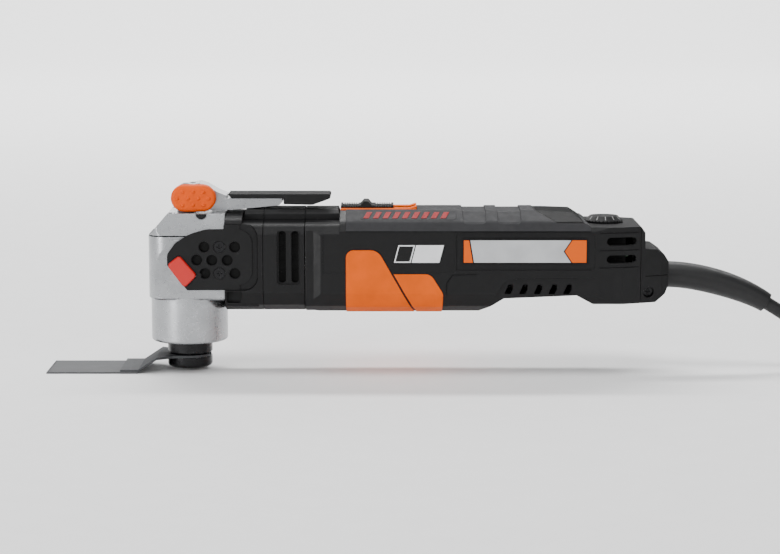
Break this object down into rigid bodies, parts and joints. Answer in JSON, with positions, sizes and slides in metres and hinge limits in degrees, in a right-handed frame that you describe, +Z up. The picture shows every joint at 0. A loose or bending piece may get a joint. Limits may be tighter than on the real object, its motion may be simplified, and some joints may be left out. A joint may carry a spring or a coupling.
{
  "type": "oscillating multi tool",
  "caption": "Corded oscillating multi tool with a tool-free clamp lever, cranked plunge blade, slide switch, speed dial, overmoulded grips and a mains cord put away in a hank.",
  "frame": {"origin": "spindle axis at the accessory seat, the underside of the spindle flange", "axes": "+X along the body from the gear head to the cord, +Z up along the spindle, Y = 0 is the plane of symmetry"},
  "size_m": [0.6785, 0.058, 0.1053],
  "materials": {
    "cast_silver": "fine satin, bead blasted",
    "black_plastic": "fine spark-eroded texture",
    "soft_grip": "matt soft-touch overmould",
    "orange_plastic": "satin overmould",
    "orange_button": "satin",
    "red_lens": "satin tinted",
    "pad_black": "polished edges",
    "badge": "satin silver with orange ends",
    "label": "printed, blank",
    "bright_steel": "ground",
    "dark_steel": "blackened",
    "blade_steel": "brushed",
    "holder_steel": "brushed, darker",
    "lamination": "stacked sheet",
    "copper": "enamelled wire",
    "moulded_inner": "moulded",
    "carbon": "graphite",
    "board": "coated board",
    "cord_rubber": "matt",
    "tie": "woven hook tape",
    "plated_brass": "nickel plated"
  },
  "bodies": {
    "housing": {"gear_head": "cast_silver", "gear_head_cap": "cast_silver", "catch_bar": "dark_steel", "cap_screws": "dark_steel", "side_plates": "black_plastic", "lamp_lenses": "red_lens", "plate_screws": "dark_steel", "front_collar": "black_plastic", "fan_housing": "black_plastic", "spine_cover": "black_plastic", "housing_left": "black_plastic", "housing_right": "black_plastic", "tail_cover": "black_plastic", "tail_screws": "dark_steel", "top_grip": "soft_grip", "front_grip": "orange_plastic", "rear_grip": "orange_plastic", "rear_top_cover": "black_plastic", "switch_bezel": "orange_plastic", "micro_switch": "moulded_inner", "speed_board": "board", "badge_plates": "badge", "label_plates": "label", "lever_hinge_pin": "bright_steel", "spindle_bearings": "bright_steel", "spindle_seal": "cord_rubber", "rotor_bearings": "bright_steel", "bearing_plate": "moulded_inner", "stator_core": "lamination", "field_coils": "copper", "brush_holders": "moulded_inner", "carbon_brushes": "carbon", "brush_springs": "bright_steel", "strain_relief": "cord_rubber", "cord": "cord_rubber", "cord_hank": "cord_rubber", "cord_tie": "tie", "plug_body": "cord_rubber", "plug_pins": "plated_brass"},
    "spindle_unit": {"spindle": "dark_steel", "fork": "bright_steel", "clamp_spring": "bright_steel"},
    "clamp_rod": {"clamp_pin": "dark_steel"},
    "blade": {"blade_holder": "holder_steel", "blade_strip": "blade_steel"},
    "rotor": {"rotor_shaft": "bright_steel", "counterweight": "lamination", "drive_bearing": "bright_steel", "cooling_fan": "moulded_inner", "armature_core": "lamination", "armature_windings": "copper", "commutator": "copper"},
    "lever": {"lever_body": "cast_silver", "lever_pad": "pad_black", "lock_button_springs": "bright_steel"},
    "button_left": {"lock_button_left": "orange_button"},
    "button_right": {"lock_button_right": "orange_button"},
    "power_switch": {"switch_slider": "pad_black", "switch_link": "moulded_inner"},
    "dial": {"speed_dial": "black_plastic"}
  },
  "joints": [
    {"name": "spindle_oscillation", "type": "hinge", "parent": "housing", "child": "spindle_unit", "pos_m": [0, 0, 0], "axis": [0, 0, 1], "range_deg": [-1.6, 1.6]},
    {"name": "clamp_rod_slide", "type": "slide", "parent": "spindle_unit", "child": "clamp_rod", "axis": [0, 0, 1], "range_m": [-0.003, 0], "deforming": ["clamp_spring"]},
    {"name": "blade_release", "type": "slide", "parent": "spindle_unit", "child": "blade", "axis": [0, 0, 1], "range_m": [-0.0026, 0]},
    {"name": "rotor_spin", "type": "hinge", "parent": "housing", "child": "rotor", "pos_m": [0.1, 0, 0.051], "axis": [1, 0, 0], "continuous": true},
    {"name": "lever_hinge", "type": "hinge", "parent": "housing", "child": "lever", "pos_m": [-0.001, 0, 0.0884], "axis": [0, -1, 0], "range_deg": [0, 150]},
    {"name": "button_left_press", "type": "slide", "parent": "lever", "child": "button_left", "axis": [0, 1, 0], "range_m": [0, 0.0015], "stiffness_N_per_m": 300, "springref_m": -0.0005, "deforming": ["lock_button_springs"]},
    {"name": "button_right_press", "type": "slide", "parent": "lever", "child": "button_right", "axis": [0, -1, 0], "range_m": [0, 0.0015], "stiffness_N_per_m": 300, "springref_m": -0.0005},
    {"name": "power_switch_slide", "type": "slide", "parent": "housing", "child": "power_switch", "axis": [1, 0, 0], "range_m": [0, 0.008]},
    {"name": "speed_dial_turn", "type": "hinge", "parent": "housing", "child": "dial", "pos_m": [0.2314, 0, 0.075], "axis": [0, 0, 1], "range_deg": [0, 270]}
  ],
  "couplings": [
    {"joint": "clamp_rod_slide", "follows": "lever_hinge", "m_per_rad": -0.0011421},
    {"joint": "blade_release", "follows": "lever_hinge", "m_per_rad": -0.00098931}
  ]
}
